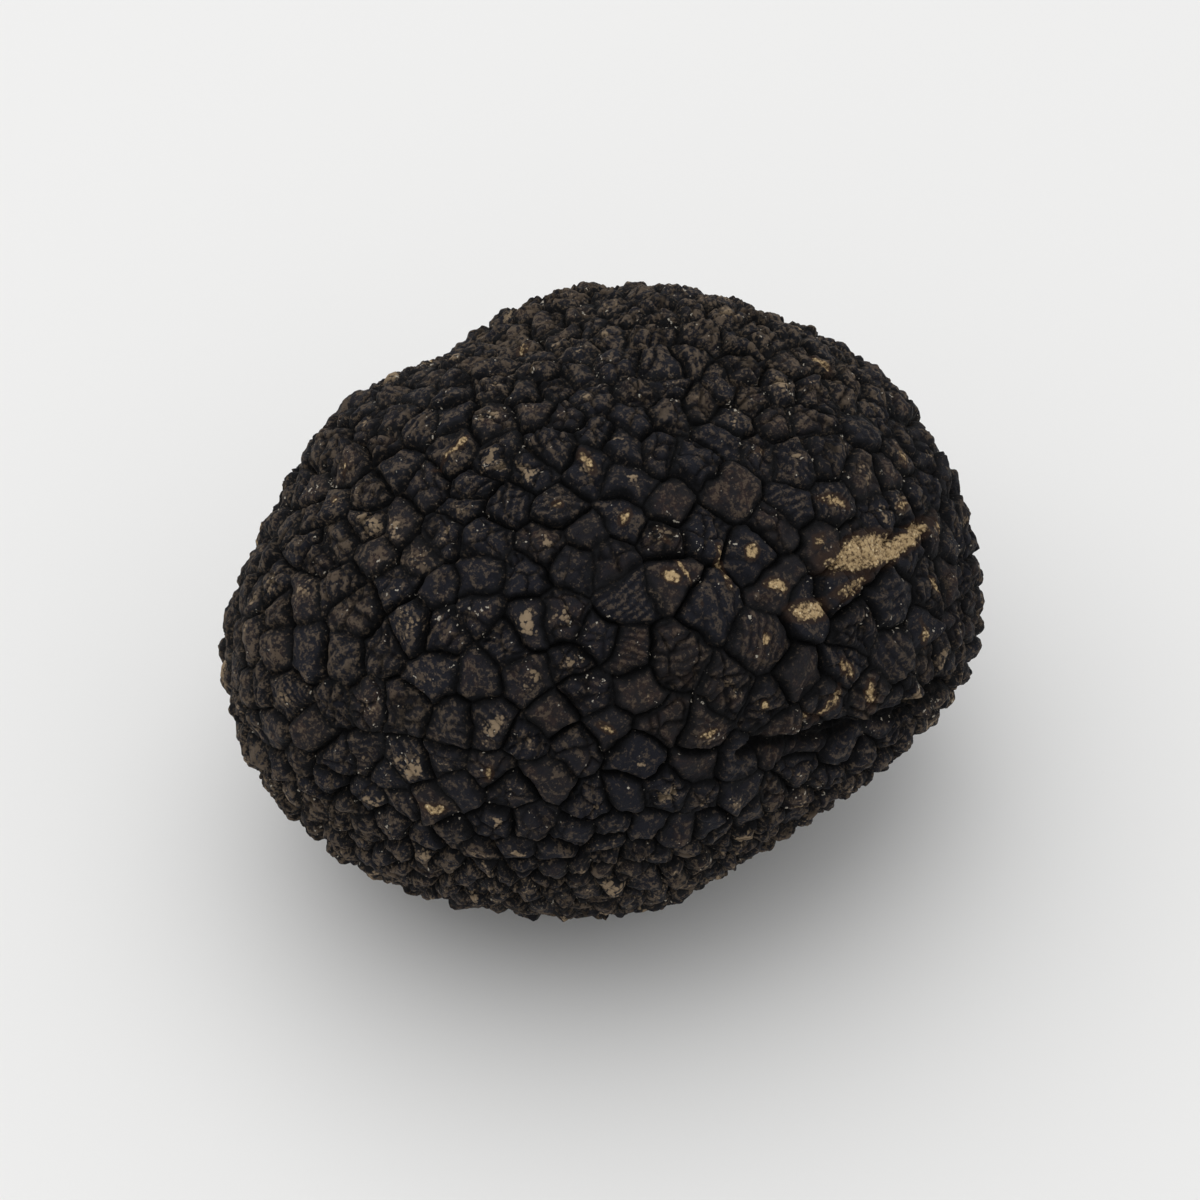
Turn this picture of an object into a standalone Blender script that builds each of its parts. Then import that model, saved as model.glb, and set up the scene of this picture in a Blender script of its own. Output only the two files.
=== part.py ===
"""A black truffle, Tuber melanosporum, lying on its own small flat spot.

One solid, because the fruit body grows as one piece. The lump is an ellipsoid whose radius is
raised by broad lobes and lowered by shallow hollows, and it is cut level where it rests.
Metres, +Z up. The origin is under the middle of the box, on the resting plane. X is the long axis.
"""

import math

import bmesh
import bpy
from mathutils import Vector, noise

LENGTH = 0.0502
WIDTH = 0.0405
HEIGHT = 0.0394
REST_CUT = 0.0013
RIM_WELD = 0.0005
SPHERE_SUBDIVISIONS = 5

# Each swelling (+) or hollow (-) runs along an arc between two directions, given as azimuth from +X
# towards +Y and elevation, in degrees. Then come its height in millimetres and its half-width in degrees.
LOBES = (
    ("blunt_end", (-40, -2), (-18, -14), 1.4, 17),
    ("far_flank", (8, 24), (32, 34), 0.3, 14),
    ("crown", (80, 38), (40, 54), 1.2, 15),
    ("furrow_over_the_back", (118, 4), (92, 58), -0.7, 8),
    ("shoulder", (128, 24), (150, 52), 0.8, 15),
    ("near_end", (160, -14), (178, 12), 1.1, 21),
    ("near_end_underside", (-174, -22), (-164, -26), 0.2, 14),
    ("turned_under_side", (-72, -32), (-50, -25), -1.4, 16),
    ("near_hollow", (-60, 58), (-20, 66), -0.5, 15),
    ("crease", (-78, 12), (-40, -5), -0.5, 7),
    ("far_side_hollow", (46, -8), (76, -24), -0.9, 14),
    ("far_side_swelling", (98, -12), (114, -32), 0.7, 14),
)

# The skin between the lobes is never quite even: gentle swells about a centimetre across.
SWELL_HEIGHT = 0.0004
SWELLS_PER_RADIUS = 2.3

SKIN_COLOUR = (0.013, 0.012, 0.013, 1.0)
SKIN_ROUGHNESS = 0.82


def clear_scene():
    """Remove whatever the scene holds."""
    for obj in list(bpy.data.objects):
        bpy.data.objects.remove(obj, do_unlink=True)


def unit_vector(azimuth, elevation):
    """The direction with this azimuth and elevation in degrees."""
    turn = math.radians(azimuth)
    lift = math.radians(elevation)
    return Vector((math.cos(turn) * math.cos(lift), math.sin(turn) * math.cos(lift), math.sin(lift)))


def ellipsoid_radius(direction):
    """Distance from the middle to the plain ellipsoid along a direction."""
    squares = (
        (direction.x / (LENGTH / 2)) ** 2,
        (direction.y / (WIDTH / 2)) ** 2,
        (direction.z / (HEIGHT / 2)) ** 2,
    )
    return 1 / math.sqrt(sum(squares))


def angle_to_arc(direction, start, end):
    """Angle between a direction and the nearest point of the arc from start to end, in radians."""
    pole = start.cross(end).normalized()
    along = (direction - direction.dot(pole) * pole).normalized()
    beside_arc = start.cross(along).dot(pole) >= 0 and along.cross(end).dot(pole) >= 0
    if beside_arc:
        return abs(math.asin(max(-1.0, min(1.0, direction.dot(pole)))))
    return min(direction.angle(start), direction.angle(end))


def lobe_rise(direction):
    """What all swellings and hollows add to the radius along a direction."""
    rise = 0.0
    for _name, start, end, millimetres, half_width in LOBES:
        angle = angle_to_arc(direction, unit_vector(*start), unit_vector(*end))
        rise += millimetres / 1000 * math.exp(-((angle / math.radians(half_width)) ** 2))
    return rise


def swell(direction):
    """The small uneven rise of the skin along a direction."""
    return SWELL_HEIGHT * noise.noise(direction * SWELLS_PER_RADIUS)


def lump():
    """The whole fruit body as a closed bmesh, before it is cut level."""
    mesh = bmesh.new()
    bmesh.ops.create_icosphere(mesh, subdivisions=SPHERE_SUBDIVISIONS, radius=1.0)
    for vert in mesh.verts:
        direction = vert.co.normalized()
        radius = ellipsoid_radius(direction) + lobe_rise(direction) + swell(direction)
        vert.co = direction * radius
    return mesh


def weld(mesh, verts, keep):
    """Merge verts that lie within RIM_WELD of one another, leaving those in keep where they are."""
    doubles = bmesh.ops.find_doubles(mesh, verts=verts, keep_verts=keep, dist=RIM_WELD)
    bmesh.ops.weld_verts(mesh, targetmap=doubles["targetmap"])


def cut_rest_spot(mesh):
    """Slice the underside level, which leaves the flat spot that the truffle rests on."""
    lowest = min(vert.co.z for vert in mesh.verts)
    cut = bmesh.ops.bisect_plane(
        mesh,
        geom=mesh.verts[:] + mesh.edges[:] + mesh.faces[:],
        dist=1e-6,
        plane_co=(0, 0, lowest + REST_CUT),
        plane_no=(0, 0, -1),
        clear_outer=True,
    )
    weld(mesh, [item for item in cut["geom_cut"] if isinstance(item, bmesh.types.BMVert)], [])
    rim = [edge for edge in mesh.edges if edge.is_boundary]
    weld(mesh, mesh.verts[:], list({vert for edge in rim for vert in edge.verts}))
    rim = [edge for edge in mesh.edges if edge.is_boundary]
    bmesh.ops.contextual_create(mesh, geom=rim)
    bmesh.ops.recalc_face_normals(mesh, faces=mesh.faces[:])


def stand_on_origin(mesh):
    """Move the lump so that the middle of its box is over the origin and its flat spot is at z = 0."""
    xs = [vert.co.x for vert in mesh.verts]
    ys = [vert.co.y for vert in mesh.verts]
    lowest = min(vert.co.z for vert in mesh.verts)
    shift = Vector((-(min(xs) + max(xs)) / 2, -(min(ys) + max(ys)) / 2, -lowest))
    bmesh.ops.translate(mesh, vec=shift, verts=mesh.verts[:])


def skin_material():
    """The matt blue-black skin."""
    material = bpy.data.materials.new("truffle_skin")
    material.use_nodes = True
    shader = material.node_tree.nodes["Principled BSDF"]
    shader.inputs["Base Color"].default_value = SKIN_COLOUR
    shader.inputs["Roughness"].default_value = SKIN_ROUGHNESS
    shader.inputs["Metallic"].default_value = 0.0
    return material


def truffle():
    """The finished object."""
    shape = lump()
    cut_rest_spot(shape)
    stand_on_origin(shape)
    mesh = bpy.data.meshes.new("truffle")
    shape.to_mesh(mesh)
    shape.free()
    mesh.shade_smooth()
    mesh.set_sharp_from_angle(angle=math.radians(30))
    mesh.materials.append(skin_material())
    made = bpy.data.objects.new("truffle", mesh)
    bpy.context.scene.collection.objects.link(made)
    return made


clear_scene()
truffle()
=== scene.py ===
import math

import bpy
import numpy as np
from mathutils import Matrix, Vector
from mathutils.bvhtree import BVHTree


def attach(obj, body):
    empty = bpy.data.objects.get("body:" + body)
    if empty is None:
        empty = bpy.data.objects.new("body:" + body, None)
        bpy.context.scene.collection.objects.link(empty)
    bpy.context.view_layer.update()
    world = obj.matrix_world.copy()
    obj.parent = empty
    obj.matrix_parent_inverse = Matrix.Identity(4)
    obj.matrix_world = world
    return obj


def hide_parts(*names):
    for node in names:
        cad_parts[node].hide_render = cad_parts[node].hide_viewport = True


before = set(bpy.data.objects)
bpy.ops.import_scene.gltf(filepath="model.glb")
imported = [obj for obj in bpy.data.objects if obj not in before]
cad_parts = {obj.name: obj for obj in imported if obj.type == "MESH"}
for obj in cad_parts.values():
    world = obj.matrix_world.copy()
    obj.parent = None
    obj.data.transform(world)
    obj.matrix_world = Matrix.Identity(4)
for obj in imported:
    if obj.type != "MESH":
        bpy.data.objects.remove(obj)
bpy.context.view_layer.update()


# ---------------------------------------------------------------------------------------------
# The fruit body. A black truffle grows underground as one dense lump, with no stalk and no seam.
# Its broad shape is the solid's own. Six square patches, like the sides of a blown-up cube, are
# laid over it finely enough to carry the warts.

PATCH_SQUARES = 288
UV_MARGIN = 0.02
BODY_MIDDLE = np.array((0.0, 0.0, 19.0))
METRES_TO_MM = 1000.0


def patches(squares):
    """Directions of the points, the corners of the squares, and the corners' places on the UV sheet."""
    steps = np.arange(squares + 1)
    i, j = np.meshgrid(steps, steps, indexing="ij")
    lattice = []
    places = []
    for patch in range(6):
        axis = patch % 3
        outer = squares if patch < 3 else 0
        point = np.zeros((squares + 1, squares + 1, 3), int)
        point[..., axis] = outer
        point[..., (axis + 1) % 3] = i if patch < 3 else j
        point[..., (axis + 2) % 3] = j if patch < 3 else i
        lattice.append(point.reshape(-1, 3))
        across = (patch % 3 + UV_MARGIN + (1 - 2 * UV_MARGIN) * i / squares) / 3
        along = (patch // 3 + UV_MARGIN + (1 - 2 * UV_MARGIN) * j / squares) / 2
        places.append(np.stack((across, along), axis=-1).reshape(-1, 2))
    lattice = np.concatenate(lattice)
    places = np.concatenate(places)
    row = squares + 1
    keys = (lattice[:, 0] * row + lattice[:, 1]) * row + lattice[:, 2]
    _, first, shared = np.unique(keys, return_index=True, return_inverse=True)
    away = np.tan((2 * lattice[first] / squares - 1) * math.pi / 4)
    away /= np.linalg.norm(away, axis=1)[:, None]
    corner = (i * row + j)[:-1, :-1].reshape(-1)
    square = np.stack((corner, corner + row, corner + row + 1, corner + 1), axis=1)
    quads = np.concatenate([square + patch * row * row for patch in range(6)])
    return away, shared.reshape(-1)[quads], places[quads.reshape(-1)]


def smooth_envelope(node):
    """The solid's surface, rounded between its flat triangles, ready to be hit by rays."""
    rounded = bpy.data.objects.new("envelope", node.data.copy())
    bpy.context.scene.collection.objects.link(rounded)
    weld = rounded.modifiers.new("weld", "WELD")
    weld.merge_threshold = 1e-6
    rounding = rounded.modifiers.new("rounding", "SUBSURF")
    rounding.levels = 2
    tree = BVHTree.FromObject(rounded, bpy.context.evaluated_depsgraph_get())
    bpy.data.objects.remove(rounded)
    return tree


def onto_envelope(tree, directions):
    """Where each direction from the middle of the body meets its surface, in millimetres."""
    middle = Vector(BODY_MIDDLE / METRES_TO_MM)
    hits = [tree.ray_cast(middle, Vector(direction))[0] for direction in directions]
    return np.array(hits) * METRES_TO_MM


def outward(points, quads):
    """Unit normals of the points of a closed mesh."""
    first, second, third, fourth = (points[quads[:, k]] for k in range(4))
    faces = np.cross(third - first, fourth - second)
    total = np.zeros_like(points)
    for axis in range(3):
        weights = np.repeat(faces[:, axis], 4)
        total[:, axis] = np.bincount(quads.reshape(-1), weights, len(points))
    return total / np.linalg.norm(total, axis=1)[:, None]


directions, quads, uv_places = patches(PATCH_SQUARES)
envelope = smooth_envelope(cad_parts["truffle"])
body = onto_envelope(envelope, directions)
body_out = outward(body, quads)


# ---------------------------------------------------------------------------------------------
# The warts. The skin splits as the lump swells, into low many-sided warts a few millimetres
# across with narrow black cracks between them. They are big on the broad side, small along the
# underside, and each has its own height, slant, lumps and splits.

WART_SEED = 1906
LATTICE = 32
SKIN_RADIUS = 21.0

rng = np.random.default_rng(WART_SEED)
lattice_values = rng.random((LATTICE, LATTICE, LATTICE))
lattice_jitter = rng.random((LATTICE, LATTICE, LATTICE, 3))


def step(values, low, high):
    """A soft step from 0 at low to 1 at high. It falls instead where low is the larger."""
    share = np.clip((values - low) / (high - low), 0, 1)
    return share * share * (3 - 2 * share)


def waver(points, size, shift=0.0):
    """Smooth random values from -1 to 1 that change over about size millimetres."""
    scaled = points / size + shift
    cell = np.floor(scaled).astype(int)
    part = scaled - cell
    part = part * part * (3 - 2 * part)
    total = np.zeros(len(points))
    for corner in np.ndindex(2, 2, 2):
        weight = np.ones(len(points))
        for axis in range(3):
            weight *= part[:, axis] if corner[axis] else 1 - part[:, axis]
        at = (cell + corner) % LATTICE
        total += weight * lattice_values[at[:, 0], at[:, 1], at[:, 2]]
    return total * 2 - 1


def heading(azimuth, elevation):
    """The direction with this azimuth from +X towards +Y and this elevation, in degrees."""
    turn = math.radians(azimuth)
    lift = math.radians(elevation)
    return np.array((math.cos(turn) * math.cos(lift), math.sin(turn) * math.cos(lift), math.sin(lift)))


def around(aims, azimuth, elevation, half_width):
    """How near aims lie to a direction: 1 on it, fading over half_width degrees."""
    angle = np.degrees(np.arccos(np.clip(aims @ heading(azimuth, elevation), -1, 1)))
    return np.exp(-((angle / half_width) ** 2))


def arc_gap(start, end):
    """How far each point of the skin is from the arc between two directions, in millimetres."""
    to_ends = np.arccos(np.clip(np.maximum(directions @ start, directions @ end), -1, 1))
    pole = np.cross(start, end)
    pole /= np.linalg.norm(pole)
    height = directions @ pole
    flat = directions - height[:, None] * pole
    beside = (np.cross(start, flat) @ pole >= 0) & (np.cross(flat, end) @ pole >= 0)
    return np.where(beside, np.abs(np.arcsin(np.clip(height, -1, 1))), to_ends) * SKIN_RADIUS


# Places where the black crust has rubbed off and the tan layer under it shows. Each runs between
# two directions, in degrees of azimuth and elevation, and then come its half-width in millimetres
# and how thoroughly it is rubbed.
WORN_PLACES = (
    ((-48, 36), (-36, 28), 1.10, 1.0),
    ((-40, 29), (-25, 21), 0.62, 1.0),
    ((-24, 19), (-24, 18), 0.40, 0.9),
    ((-52, 31), (-46, 29), 0.50, 0.7),
    ((-63, 34), (-59, 32), 0.75, 1.0),
    ((-65, 42), (-63, 40), 0.42, 1.0),
    ((-64, 49), (-64, 49), 0.48, 0.9),
    ((-73, 53), (-75, 47), 0.32, 0.75),
    ((-37, 43), (-36, 40), 0.42, 0.8),
    ((-49, 41), (-46, 41), 0.38, 0.7),
    ((-27, 29), (-25, 27), 0.30, 0.7),
    ((-74, 34), (-74, 34), 0.42, 0.9),
    ((-92, 53), (-90, 52), 0.42, 0.9),
    ((-104, 65), (-101, 66), 0.38, 0.8),
    ((-87, 56), (-85, 46), 0.15, 0.8),
    ((-34, 16), (-34, 14), 0.28, 0.8),
    ((-41, 13), (-42, 10), 0.30, 0.8),
    ((-57, 13), (-58, 10), 0.42, 0.8),
    ((-60, 21), (-60, 18), 0.32, 0.7),
    ((-68, 14), (-64, 16), 0.42, 0.8),
    ((-72, 15), (-70, 15), 0.32, 0.6),
    ((-93, 22), (-91, 22), 0.30, 0.7),
    ((-115, 27), (-111, 25), 0.30, 0.7),
    ((-79, 22), (-79, 22), 0.28, 0.9),
    ((-30, 58), (-28, 57), 0.26, 0.6),
    ((-15, 28), (-13, 28), 0.38, 0.7),
    ((171, 59), (166, 64), 0.30, 0.8),
    ((159, 40), (157, 41), 0.25, 0.7),
    ((-128, 78), (-120, 76), 0.42, 0.8),
    ((-136, 67), (-134, 67), 0.26, 0.6),
    ((166, 38), (166, 38), 0.26, 0.6),
    ((-145, 7), (-141, 6), 0.32, 0.8),
    ((-134, 17), (-134, 15), 0.26, 0.7),
    ((60, 22), (66, 17), 0.75, 1.0),
    ((74, 12), (76, 10), 0.40, 0.9),
    ((110, 32), (111, 26), 0.40, 0.8),
    ((28, 8), (31, 7), 0.45, 0.9),
    ((5, 40), (8, 40), 0.42, 0.8),
    ((130, -8), (133, -8), 0.42, 0.9),
    ((40, -20), (43, -17), 0.50, 0.9),
    ((95, 58), (99, 60), 0.35, 0.7),
    ((150, 12), (152, 10), 0.35, 0.8),
    ((-5, -12), (-2, -10), 0.40, 0.8),
)

# A wart stands in the middle of each worn place, because it is the tops that rub.
worn_tops = np.array([
    heading((start[0] + end[0]) / 2, (start[1] + end[1]) / 2) for start, end, _width, _rubbed in WORN_PLACES
])

# How far apart warts stand in millimetres, and how much that changes from place to place.
WART_SPACING = 2.32
WIDER_ON_BROAD_SIDE = 0.65
CLOSER_ON_BACK = 0.35
CLOSER_BELOW = 0.8
NARROWEST = 0.70
WIDEST = 1.25
FIXED_REACH = 2.5
CANDIDATES = 24000


def broad_side(aims):
    """How near aims lie to the broad side, where the warts are widest."""
    return around(aims, -68, 40, 42)


def rough_back(aims):
    """How near aims lie to the rough back and crown."""
    return np.clip(around(aims, 75, 50, 42) + around(aims, 20, 40, 30), 0, 1)


def cobbled_end(aims):
    """How near aims lie to the dusty end with rounder warts."""
    return around(aims, 175, 20, 42)


def underside(aims):
    """0 above the widest part, 1 where the skin has turned under."""
    return step(np.degrees(np.arcsin(aims[:, 2])), 12, -14)


def wart_spacing(aims):
    """How far apart warts stand in each direction from the middle of the body, in millimetres."""
    wider = WIDER_ON_BROAD_SIDE * broad_side(aims)
    return WART_SPACING + wider - CLOSER_ON_BACK * rough_back(aims) - CLOSER_BELOW * underside(aims)


def scatter(fixed, count):
    """Wart middles over the whole body, the fixed ones first, then random ones where there is room."""
    aims = rng.normal(0, 1, (count, 3))
    aims /= np.linalg.norm(aims, axis=1)[:, None]
    aims = np.concatenate((fixed, aims))
    points = onto_envelope(envelope, aims)
    reaches = wart_spacing(aims) * rng.uniform(NARROWEST, WIDEST, len(aims))
    reaches[:len(fixed)] = FIXED_REACH
    kept = np.zeros((0, 3))
    kept_reaches = np.zeros(0)
    for point, reach in zip(points, reaches):
        gaps = np.linalg.norm(kept - point, axis=1)
        if np.all(gaps > (kept_reaches + reach) / 2):
            kept = np.vstack((kept, point))
            kept_reaches = np.append(kept_reaches, reach)
    return kept


def nearest(points, seeds, count):
    """Indices of the count nearest seeds of each point, nearest first."""
    found = np.zeros((len(points), count), int)
    for start in range(0, len(points), 20000):
        part = points[start:start + 20000]
        gaps = (seeds ** 2).sum(1) - 2 * part @ seeds.T
        close = np.argpartition(gaps, count, axis=1)[:, :count]
        order = np.argsort(np.take_along_axis(gaps, close, axis=1), axis=1)
        found[start:start + 20000] = np.take_along_axis(close, order, axis=1)
    return found


def three_wavers(points, size, shift):
    """Three independent wavers as the columns of one array."""
    return np.stack([waver(points, size, shift + 8.3 * axis) for axis in range(3)], axis=1)


back = rough_back(directions)
below = underside(directions)

# No crack runs straight. They wander by up to WOBBLE millimetres over the size of a wart, and by
# less and less over shorter lengths.
WOBBLE = 0.45
WOBBLE_SIZE = 2.4
RIPPLE = 0.17
RIPPLE_SIZE = 0.85
CRINKLE = 0.06
CRINKLE_SIZE = 0.4
wobble = three_wavers(body, WOBBLE_SIZE, 3.1)
ripple = three_wavers(body, RIPPLE_SIZE, 5.3)
crinkle = three_wavers(body, CRINKLE_SIZE, 9.7)
bent = body + WOBBLE * wobble + RIPPLE * ripple + CRINKLE * crinkle

# Every place belongs to the wart whose middle is nearest.
NEIGHBOURS = 8
seeds = scatter(worn_tops, CANDIDATES)
close = nearest(bent, seeds, NEIGHBOURS)
own_seed = seeds[close[:, 0]]
wart = close[:, 0]
wart_count = len(seeds)

# How far each crack has opened, one value for each pair of neighbouring warts.
TIGHTEST = 0.12
OPENING_SPREAD = 0.95
crack_opening = rng.random((wart_count, wart_count))
crack_opening = np.triu(crack_opening) + np.triu(crack_opening, 1).T
crack_opening = TIGHTEST + OPENING_SPREAD * crack_opening

# A crack is a narrow V with rounded shoulders, deeper in some parts of the skin than in others.
CRACK_DEPTH = 0.60
CRACK_REACH = 0.30
CRACK_SHARPNESS = 1.8
FAR_AWAY = 9.0
crack_depth = CRACK_DEPTH * (1 + 0.4 * waver(body, 6.0, 1.7)) * (1 - 0.3 * back)
groove = np.zeros(len(body))
# Painted shade: the colour is darkened down in each crack, the more the wider it has opened.
painted_crack_shade = np.zeros(len(body))
to_edge = np.full(len(body), FAR_AWAY)
for rank in range(1, NEIGHBOURS):
    other = seeds[close[:, rank]]
    apart = other - own_seed
    length = np.linalg.norm(apart, axis=1)
    gap = np.abs((((own_seed + other) / 2 - bent) * apart).sum(1)) / length
    opening = crack_opening[wart, close[:, rank]]
    share = np.clip(gap / (CRACK_REACH * (0.45 + 0.85 * opening)), 0, 1)
    groove = np.minimum(groove, -crack_depth * opening * (1 - share) ** CRACK_SHARPNESS)
    painted_crack_shade = np.maximum(painted_crack_shade, step(gap, 0.10 + 0.16 * opening, 0.03) * (0.45 + 0.55 * opening))
    to_edge = np.minimum(to_edge, gap)

# Each wart is a low pyramid with a blunt tip.
ROOF_HEIGHTS = (0.20, 0.54)
ROOF_RUNS = (0.8, 1.6)
ROOF_CURVE = 1.35
roof_height = rng.uniform(*ROOF_HEIGHTS, wart_count)[wart] * (1 + 0.3 * below)
roof_run = rng.uniform(*ROOF_RUNS, wart_count)[wart] * (1 - 0.35 * below)
roof_share = np.clip(to_edge / roof_run, 0, 1)
roof = roof_height * (1 - (1 - roof_share) ** ROOF_CURVE)

# It also slants its own way and is lumpy in its own way.
SLANT = 0.13
SLANT_LIMIT = 0.3
inside = step(to_edge, 0.02, 0.40)
from_seed = bent - own_seed
slant = rng.normal(0, SLANT, (wart_count, 3))[wart]
slant_rise = np.clip((slant * from_seed).sum(1), -SLANT_LIMIT, SLANT_LIMIT)
own_shift = rng.uniform(0, LATTICE, (wart_count, 3))[wart]
lumps = 0.14 * waver(body + own_shift * 1.1, 1.1) + 0.09 * waver(body + own_shift * 0.6, 0.6)
ridge = 1 - np.abs(waver(body + own_shift * 0.9, 0.9))
lumps += 0.11 * ridge ** 3


def split_lines(points, size):
    """Distance to the nearest line of a finer net of splits, in millimetres."""
    scaled = points / size
    cell = np.floor(scaled).astype(int)
    best = np.full(len(points), FAR_AWAY)
    best_to = np.zeros((len(points), 3))
    nets = [np.array(offset) - 1 for offset in np.ndindex(3, 3, 3)]
    for offset in nets:
        at = (cell + offset) % LATTICE
        to = cell + offset + lattice_jitter[at[:, 0], at[:, 1], at[:, 2]] - scaled
        reach = (to * to).sum(1)
        nearer = reach < best
        best = np.where(nearer, reach, best)
        best_to = np.where(nearer[:, None], to, best_to)
    line = np.full(len(points), FAR_AWAY)
    for offset in nets:
        at = (cell + offset) % LATTICE
        to = cell + offset + lattice_jitter[at[:, 0], at[:, 1], at[:, 2]] - scaled
        apart = to - best_to
        length = np.linalg.norm(apart, axis=1)
        real = length > 1e-6
        middle = ((to + best_to) / 2 * apart).sum(1)
        line = np.where(real, np.minimum(line, middle / np.where(real, length, 1)), line)
    return line * size


# Many warts are split again by finer, shallower cracks.
SPLIT_SPACING = 1.7
SPLIT_DEPTH = 0.24
SPLIT_REACH = 0.22
splits = split_lines(bent + 0.12 * ripple, SPLIT_SPACING)
split_wart = step(rng.random(wart_count), 0.25, 0.65)[wart]
split_depth = SPLIT_DEPTH * np.clip(split_wart + 0.6 * back, 0, 1) * inside
split_groove = -split_depth * (1 - np.clip(splits / SPLIT_REACH, 0, 1)) ** 1.6

# Some are cleft by a few straight lines side by side.
CLEFT_SPACINGS = (0.42, 0.75)
CLEFT_DEPTH = 0.11
CLEFT_REACH = 0.17
CLEFT_SHARE = 0.4
cleft_way = rng.normal(0, 1, (wart_count, 3))
cleft_way /= np.linalg.norm(cleft_way, axis=1)[:, None]
cleft_spacing = rng.uniform(*CLEFT_SPACINGS, wart_count)[wart]
cleft_wart = (rng.random(wart_count) > 1 - CLEFT_SHARE)[wart]
along_cleft = (cleft_way[wart] * from_seed).sum(1) / cleft_spacing + 0.3 * ripple[:, 0]
to_cleft = np.abs(along_cleft - np.round(along_cleft)) * cleft_spacing
cleft_groove = -CLEFT_DEPTH * cleft_wart * inside * (1 - np.clip(to_cleft / CLEFT_REACH, 0, 1)) ** 1.3

# Fine grain all over, coarser on the back and along the rims.
grain = 0.055 * waver(body, 0.45, 7.7) + 0.035 * waver(body, 0.27, 13.3)
grain *= 1 + 1.2 * back + 0.5 * below

# A fold runs across the side where the lump turns under.
FOLD_DEPTH = 0.75
FOLD_HALF_WIDTH = 0.45
fold_gap = np.minimum(
    arc_gap(heading(-86, 15), heading(-60, 6)),
    arc_gap(heading(-60, 6), heading(-36, -4)),
)
fold_gap = fold_gap + 0.5 * waver(body, 2.2, 19.1)
fold = -FOLD_DEPTH * np.exp(-((fold_gap / FOLD_HALF_WIDTH) ** 2))


def worn_by(start, end, half_width, rubbed):
    """How worn each point is by one long or round patch, ragged at its edge."""
    middle = (start + end) / np.linalg.norm(start + end)
    level = np.cross((0, 0, 1), middle)
    along = end - start if np.linalg.norm(end - start) > 1e-6 else level
    along = along / np.linalg.norm(along)
    across = np.cross(middle, along)
    half_length = np.linalg.norm(end - start) / 2 * SKIN_RADIUS + half_width
    share = np.hypot(directions @ along / half_length, directions @ across / half_width) * SKIN_RADIUS
    share += (0.16 * ripple[:, 0] + 0.10 * crinkle[:, 0]) / half_width
    return np.where(directions @ middle > 0, rubbed * step(share, 1.6, 0.4), 0.0)


worn = np.zeros(len(body))
for start, end, half_width, rubbed in WORN_PLACES:
    worn = np.maximum(worn, worn_by(heading(*start), heading(*end), half_width, rubbed))

# The warts are sunk a little, so that their tops lie close to the solid's own surface.
SWELL = 0.28
SWELL_SIZE = 6.0
SUNK = 0.30
relief = groove + roof + inside * (slant_rise + lumps) + split_groove + cleft_groove + grain + fold
relief += SWELL * waver(body, SWELL_SIZE, 29.3) - SUNK
skin = body + body_out * relief[:, None]
skin[:, 2] = np.maximum(skin[:, 2], 0.0)

# What the finish needs to know about each place on the skin.
# The splits, the clefts and the fold get the same painted shade, darkest down in them.
painted_crack_shade = np.maximum(painted_crack_shade, np.clip(-(split_groove + cleft_groove) / 0.2, 0, 1) * 0.8)
painted_crack_shade = np.maximum(painted_crack_shade, np.clip(-fold / 0.5, 0, 1))
wart_top = step(to_edge, 0.10, 0.80)
wart_tone = rng.random(wart_count)[wart]
tip_rubbed = rng.random(wart_count)[wart] ** 1.6
tip_size = rng.uniform(0.5, 1.25, wart_count)[wart]
tip_gap = np.linalg.norm(from_seed + 0.35 * ripple + 0.15 * crinkle, axis=1)
tip = tip_rubbed * step(tip_gap / tip_size, 1.25, 0.1)
# Painted highlight: the raised lines between the clefts and along the ridges of the lumps are lightened in
# the colour as if light caught them.
crest_highlight = cleft_wart * step(to_cleft / cleft_spacing, 0.30, 0.5)
crest_highlight = inside * np.maximum(crest_highlight, (rng.random(wart_count) > 0.45)[wart] * step(ridge, 0.86, 0.98))
dustiness = np.clip(0.25 + 0.55 * back + 0.45 * cobbled_end(directions) + 0.5 * below, 0, 1)


def skin_mesh(name, points, quads, uv_places, marks):
    """A mesh of the given squares, with its UV sheet and one value per point for each mark."""
    mesh = bpy.data.meshes.new(name)
    mesh.vertices.add(len(points))
    mesh.vertices.foreach_set("co", (points / METRES_TO_MM).astype(np.float32).reshape(-1))
    mesh.loops.add(quads.size)
    mesh.loops.foreach_set("vertex_index", quads.astype(np.int32).reshape(-1))
    mesh.polygons.add(len(quads))
    mesh.polygons.foreach_set("loop_start", np.arange(0, quads.size, 4, dtype=np.int32))
    mesh.update(calc_edges=True)
    mesh.shade_smooth()
    sheet = mesh.uv_layers.new(name="OFBake")
    sheet.data.foreach_set("uv", uv_places.astype(np.float32).reshape(-1))
    for mark, values in marks.items():
        attribute = mesh.attributes.new(mark, "FLOAT", "POINT")
        attribute.data.foreach_set("value", values.astype(np.float32))
    return mesh


truffle = bpy.data.objects.new("warty_truffle", skin_mesh("warty_truffle", skin, quads, uv_places, {
    "crack_shade": painted_crack_shade,
    "wart_top": wart_top,
    "wart_tone": wart_tone,
    "dustiness": dustiness,
    "tip": tip,
    "crest_highlight": crest_highlight,
    "worn": worn,
}))
bpy.context.scene.collection.objects.link(truffle)


# ---------------------------------------------------------------------------------------------
# The skin's finish. The crust is blue-black and matt, browner and dusty on the wart tops, and painted shade
# makes it nearly black down in the cracks and dark towards the wart edges. Painted highlights run along the
# crests in the dust's brown. Soil and rubbing leave pale crumbs and granular tan patches; the pale specks
# also serve as tiny painted highlights, and the tan grains carry painted highlights on their tops and
# painted shade in the gaps between them.


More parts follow.
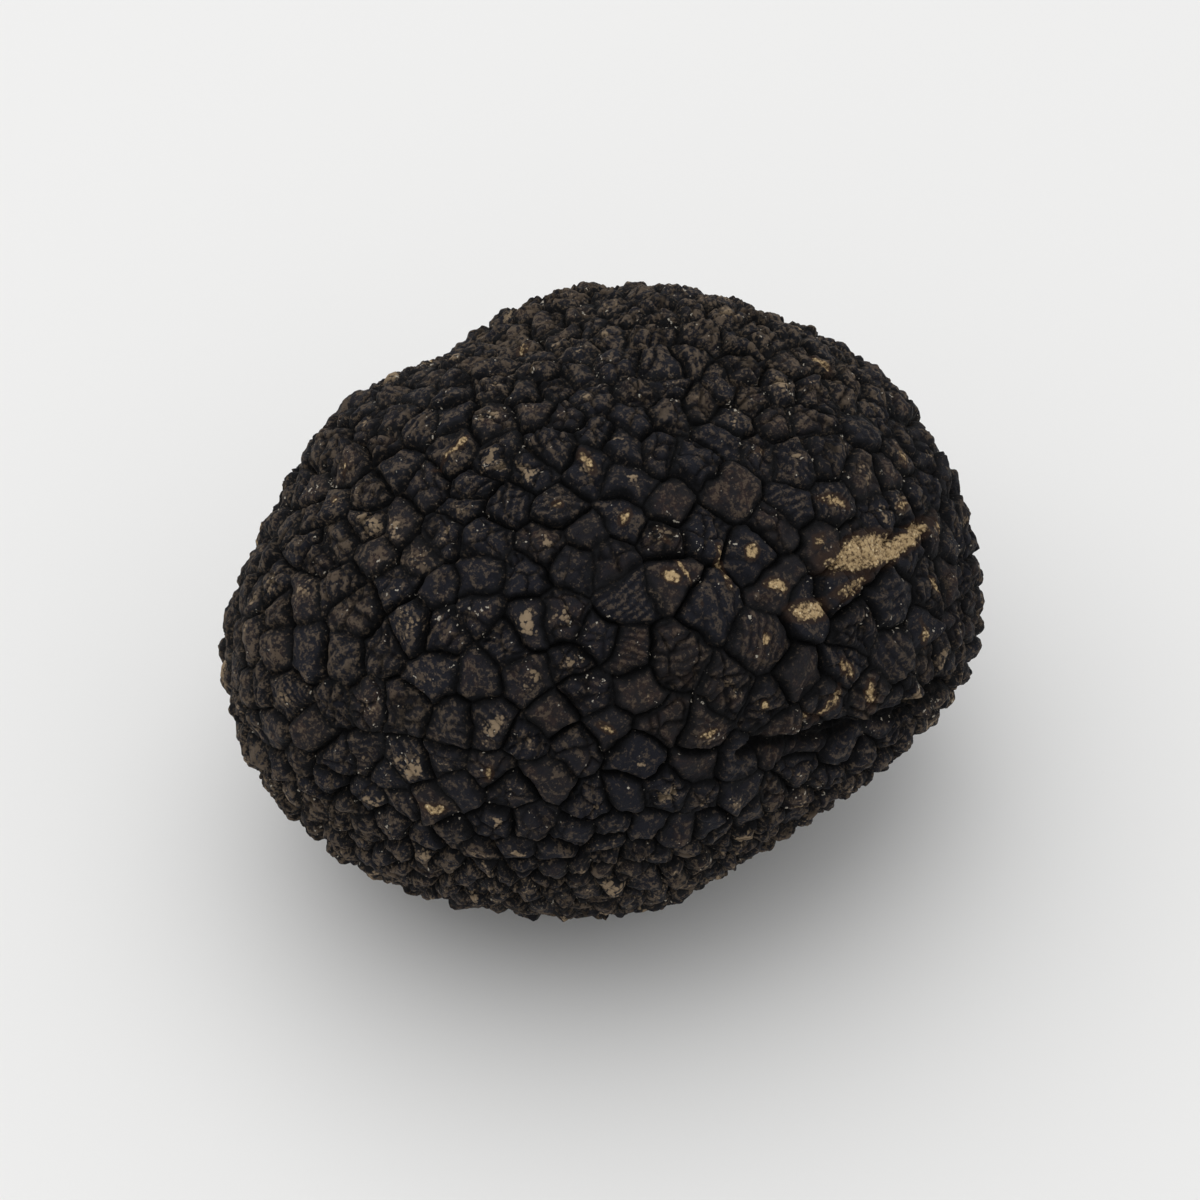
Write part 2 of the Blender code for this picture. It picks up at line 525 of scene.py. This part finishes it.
class Tint:
    """A socket of a finish. Sums and products with other tints or with numbers add Math nodes."""

    def __init__(self, tree, socket=None):
        self.tree = tree
        self.socket = socket

    def node(self, kind, settings=None, sockets=None, output=0):
        """Add a node, set it up, set or link its sockets, and return one of its outputs."""
        made = self.tree.nodes.new(kind)
        for name, value in (settings or {}).items():
            setattr(made, name, value)
        for name, value in (sockets or {}).items():
            if isinstance(value, Tint):
                self.tree.links.new(value.socket, made.inputs[name])
            else:
                made.inputs[name].default_value = value
        return Tint(self.tree, made.outputs[output])

    def joined(self, operation, first, second):
        """A Math node that joins two tints or numbers."""
        return self.node("ShaderNodeMath", {"operation": operation}, {0: first, 1: second})

    def __add__(self, other):
        return self.joined("ADD", self, other)

    def __radd__(self, other):
        return self.joined("ADD", other, self)

    def __sub__(self, other):
        return self.joined("SUBTRACT", self, other)

    def __rsub__(self, other):
        return self.joined("SUBTRACT", other, self)

    def __mul__(self, other):
        return self.joined("MULTIPLY", self, other)

    def between(self, low, high):
        """A soft step from 0 where this is low to 1 where it is high."""
        limits = {"Value": self, "From Min": low, "From Max": high}
        return self.node("ShaderNodeMapRange", {"interpolation_type": "SMOOTHSTEP"}, limits)

    def mix(self, first, second):
        """The first colour where this is 0, the second where it is 1."""
        sockets = {0: self, 6: first, 7: second}
        return self.node("ShaderNodeMix", {"data_type": "RGBA"}, sockets, 2)


skin_finish = bpy.data.materials.new("truffle_skin")
skin_finish.use_nodes = True
skin_tree = skin_finish.node_tree
crust = skin_tree.nodes["Principled BSDF"]
blank = Tint(skin_tree)
place = blank.node("ShaderNodeTexCoord", output="Object")


def mark(name):
    """One of the values that the skin's mesh carries."""
    return blank.node("ShaderNodeAttribute", {"attribute_name": name}, output="Fac")


def cloud(size_mm, detail, roughness=0.6):
    """Smooth random values that change over about size_mm millimetres."""
    sockets = {"Vector": place, "Scale": METRES_TO_MM / size_mm, "Detail": detail, "Roughness": roughness}
    return blank.node("ShaderNodeTexNoise", sockets=sockets, output=0)


crack_shade = mark("crack_shade")
top = mark("wart_top")
tone = mark("wart_tone")
dusty = mark("dustiness")
tip = mark("tip")
crest_highlight = mark("crest_highlight")
rubbed = mark("worn")
broad = cloud(7.0, 2)
patchy = cloud(2.6, 3)
crumbs = cloud(0.62, 5, 0.7)
grit = cloud(0.26, 4, 0.7)

BLUE_BLACK = (0.0070, 0.0072, 0.0114, 1)
WARM_BLACK = (0.0132, 0.0106, 0.0102, 1)
RED_BROWN = (0.0400, 0.0205, 0.0160, 1)
DUST_AND_HIGHLIGHT_BROWN = (0.1350, 0.0990, 0.0670, 1)
TIP_BROWN = (0.2700, 0.1980, 0.1250, 1)
PALE_CRUMB_AND_GLINT = (0.4400, 0.3950, 0.3200, 1)
TAN = (0.4500, 0.3200, 0.1700, 1)
PALE_TAN_AND_GRAIN_HIGHLIGHT = (0.7400, 0.6100, 0.3900, 1)
DEEP_TAN_AND_GAP_SHADE = (0.0900, 0.0560, 0.0300, 1)
FRINGE_BROWN = (0.0260, 0.0140, 0.0090, 1)
CRACK_SHADE_BLACK = (0.0005, 0.0005, 0.0006, 1)
EDGE_SHADE_BLACK = (0.0014, 0.0014, 0.0020, 1)

# The crust: blue-black or warmer black, a few warts reddish, and painted shade darkening each wart towards
# its edges, where it slopes into the cracks.
colour = (tone * 0.35 + broad * 0.5 + crumbs * 0.5 - 0.2).between(0.35, 0.80).mix(BLUE_BLACK, WARM_BLACK)
reddish = (tone * 0.5 + patchy).between(0.76, 1.05) * top * crumbs.between(0.38, 0.62) * 0.5
colour = reddish.mix(colour, RED_BROWN)
colour = (top * 0.8 + crumbs * 0.9).between(0.28, 1.05).mix(EDGE_SHADE_BLACK, colour)

# Brown dust caught in the grain, and painted highlight in the same brown along the crests.
dust_and_crest_highlight = (grit * 0.55 + crumbs * 0.45 + dusty * 0.08 + top * 0.04 + crest_highlight * 0.08).between(0.570, 0.67)
colour = (dust_and_crest_highlight * (0.26 + dusty * 0.5)).mix(colour, DUST_AND_HIGHLIGHT_BROWN)

# Rubbed tips, broken up by the round grains of the crust, and then painted shade, nearly black, down in the
# cracks.
grains = blank.node("ShaderNodeTexVoronoi", None, {"Vector": place, "Scale": METRES_TO_MM / 0.30}, 0)
grained = (1 - grains) * 0.55 + grit * 0.6 + crumbs * 0.25
tips = (grained + tip * 0.50).between(0.95, 1.11) * (0.3 + tip * 0.7)
colour = tips.mix(colour, TIP_BROWN)
colour = (crack_shade * 0.94).mix(colour, CRACK_SHADE_BLACK)

# Pale specks: crumbs of pale soil, and tiny painted highlights.
speck = cloud(0.34, 2, 0.5)
pale_specks_and_glints = (speck + (patchy - 0.5) * 0.55 + tip * 0.05 + dusty * 0.02).between(0.745, 0.80)
colour = (pale_specks_and_glints * 0.85).mix(colour, PALE_CRUMB_AND_GLINT)

# Worn places: a dark brown fringe round granular tan, with painted highlights on the grain tops and painted
# shade in the gaps between the grains.
tan = grit.between(0.34, 0.56).mix(DEEP_TAN_AND_GAP_SHADE, TAN)
tan = (grained + rubbed * 0.1).between(0.90, 1.12).mix(tan, PALE_TAN_AND_GRAIN_HIGHLIGHT)
colour = (rubbed.between(0.05, 0.35) * 0.8).mix(colour, FRINGE_BROWN)
bare = (rubbed * 0.95 + grained - 0.96).between(0.22, 0.56)
colour = bare.mix(colour, tan)

BUMP_HEIGHT = 0.00024
skin_tree.links.new(colour.socket, crust.inputs["Base Color"])
sheen_break = 0.58 + grit * 0.3 + bare * 0.2 + crack_shade * 0.3
skin_tree.links.new(sheen_break.socket, crust.inputs["Roughness"])
height = crumbs * 0.5 + grit * 0.5 + bare * 0.2 - grains * 0.15
bump = blank.node("ShaderNodeBump", None, {"Strength": 1.0, "Distance": BUMP_HEIGHT, "Height": height})
skin_tree.links.new(bump.socket, crust.inputs["Normal"])
crust.inputs["Metallic"].default_value = 0.0
crust.inputs["Specular IOR Level"].default_value = 0.16

truffle.data.materials.append(skin_finish)
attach(truffle, "root")
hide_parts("truffle")


# ---------------------------------------------------------------------------------------------
# The stage: a plain pale floor, one large soft light overhead and a little behind, and a pale room
# that fills the shadows.

FLOOR_HALF = 3.0
floor_mesh = bpy.data.meshes.new("floor")
floor_mesh.from_pydata(
    [(x * FLOOR_HALF, y * FLOOR_HALF, 0.0) for x, y in ((-1, -1), (1, -1), (1, 1), (-1, 1))],
    [],
    [(0, 1, 2, 3)],
)
floor = bpy.data.objects.new("floor", floor_mesh)
bpy.context.scene.collection.objects.link(floor)
floor_finish = bpy.data.materials.new("pale_floor")
floor_finish.use_nodes = True
floor_shader = floor_finish.node_tree.nodes["Principled BSDF"]
floor_shader.inputs["Base Color"].default_value = (0.84, 0.83, 0.815, 1)
floor_shader.inputs["Roughness"].default_value = 0.5
floor_mesh.materials.append(floor_finish)


def soft_light(name, direction, distance, size, power):
    """A square area light that faces the truffle."""
    data = bpy.data.lights.new(name, "AREA")
    data.shape = "SQUARE"
    data.size = size
    data.energy = power
    light = bpy.data.objects.new(name, data)
    towards = Vector(direction).normalized()
    light.location = towards * distance
    light.rotation_euler = towards.to_track_quat("Z", "Y").to_euler()
    bpy.context.scene.collection.objects.link(light)


soft_light("overhead", (-0.14, 0.20, 1.0), 0.9, 1.2, 4.1)

room = bpy.data.worlds.new("room")
room.use_nodes = True
room.node_tree.nodes["Background"].inputs["Color"].default_value = (0.97, 0.985, 1.0, 1)
room.node_tree.nodes["Background"].inputs["Strength"].default_value = 0.74
bpy.context.scene.world = room


# ---------------------------------------------------------------------------------------------
# The camera stands off to the front left and looks down at the truffle.

CAMERA_AZIMUTH = math.radians(-24)
CAMERA_ELEVATION = math.radians(50)
CAMERA_DISTANCE = 0.45
FIELD_WIDTH = 0.080
SENSOR_WIDTH = 36.0
camera_data = bpy.data.cameras.new("camera")
camera_data.sensor_width = SENSOR_WIDTH
camera_data.lens = SENSOR_WIDTH * CAMERA_DISTANCE / FIELD_WIDTH
camera_data.clip_start = 0.01
camera = bpy.data.objects.new("camera", camera_data)
back = Vector((
    math.sin(CAMERA_AZIMUTH) * math.cos(CAMERA_ELEVATION),
    -math.cos(CAMERA_AZIMUTH) * math.cos(CAMERA_ELEVATION),
    math.sin(CAMERA_ELEVATION),
))
camera.location = Vector(BODY_MIDDLE / METRES_TO_MM) + back * CAMERA_DISTANCE
camera.rotation_euler = back.to_track_quat("Z", "Y").to_euler()
bpy.context.scene.collection.objects.link(camera)
bpy.context.scene.camera = camera
bpy.context.scene.view_settings.view_transform = "Standard"
